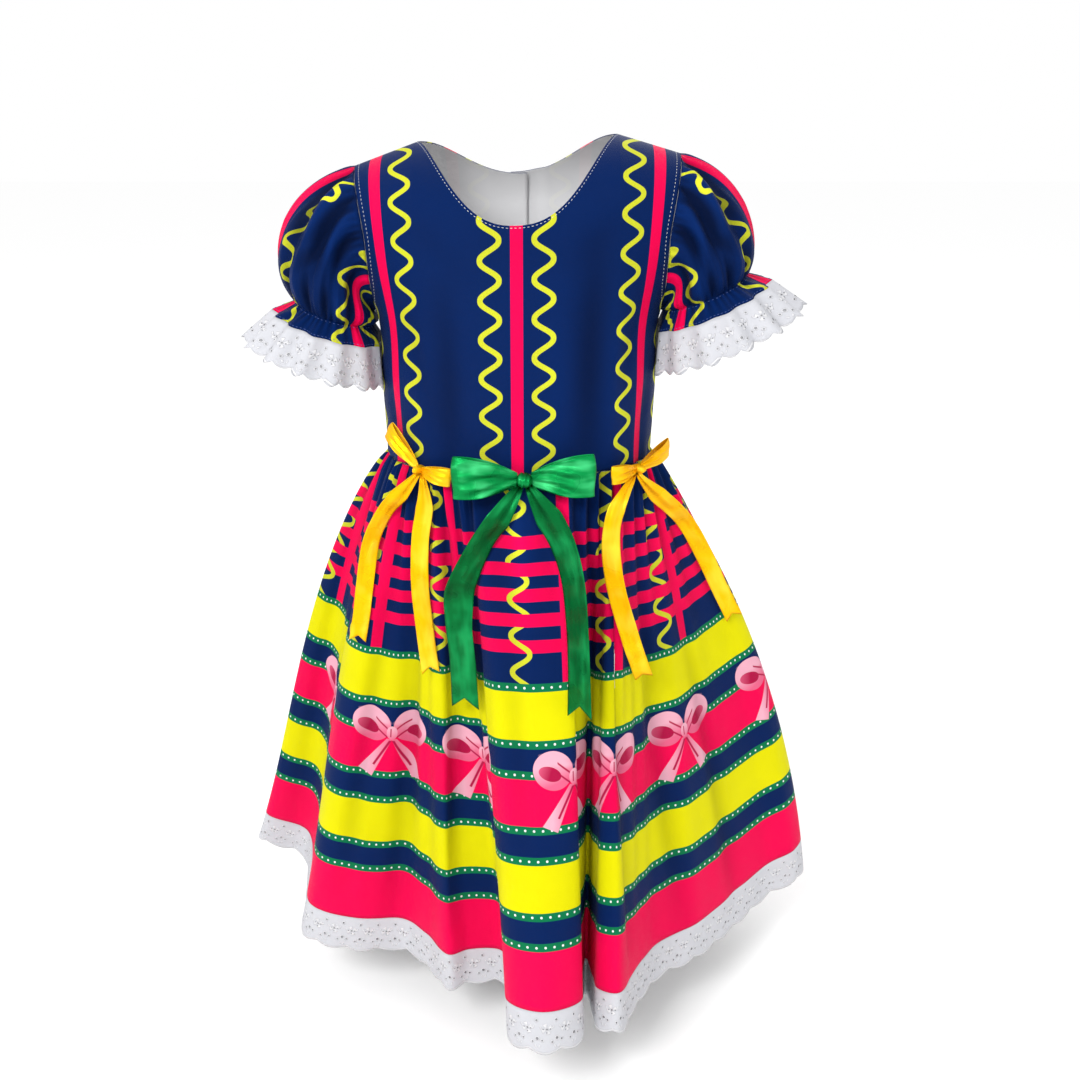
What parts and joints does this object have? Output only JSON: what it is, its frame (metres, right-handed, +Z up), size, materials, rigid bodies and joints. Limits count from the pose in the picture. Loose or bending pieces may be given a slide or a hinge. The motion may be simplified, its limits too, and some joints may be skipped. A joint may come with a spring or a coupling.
{
  "type": "festa junina dress",
  "caption": "Child's country-party dress, filled out as worn: round neck, puff sleeves, full gathered printed skirt, white eyelet lace edges and satin bows at the waist",
  "frame": {"origin": "midway between the neck points of the shoulders, at their height", "axes": "+Z up, along the body; front of the dress faces -Y; +X is the wearer's left"},
  "size_m": [0.548, 0.4486, 0.7205],
  "materials": {
    "printed_cloth": "matt printed polyester with a soft sheen, navy with pink, yellow and green",
    "eyelet_lace": "white eyelet embroidery",
    "green_satin": "glossy satin ribbon",
    "gold_satin": "glossy satin ribbon",
    "button": "plain white"
  },
  "bodies": {
    "root": {"back_button_1": "button", "back_button_2": "button", "back_button_3": "button", "bodice_back_left": "printed_cloth", "bodice_back_right": "printed_cloth", "bodice_front": "printed_cloth", "gold_bow_left_knot": "gold_satin", "gold_bow_left_loop_left": "gold_satin", "gold_bow_left_loop_right": "gold_satin", "gold_bow_left_tail_left": "gold_satin", "gold_bow_left_tail_right": "gold_satin", "gold_bow_right_knot": "gold_satin", "gold_bow_right_loop_left": "gold_satin", "gold_bow_right_loop_right": "gold_satin", "gold_bow_right_tail_left": "gold_satin", "gold_bow_right_tail_right": "gold_satin", "green_bow_knot": "green_satin", "green_bow_loop_left": "green_satin", "green_bow_loop_right": "green_satin", "green_bow_tail_left": "green_satin", "green_bow_tail_right": "green_satin", "skirt_back": "printed_cloth", "skirt_front": "printed_cloth", "skirt_lace_back": "eyelet_lace", "skirt_lace_front": "eyelet_lace", "sleeve_lace_left": "eyelet_lace", "sleeve_lace_right": "eyelet_lace", "sleeve_left": "printed_cloth", "sleeve_right": "printed_cloth"}
  },
  "joints": []
}
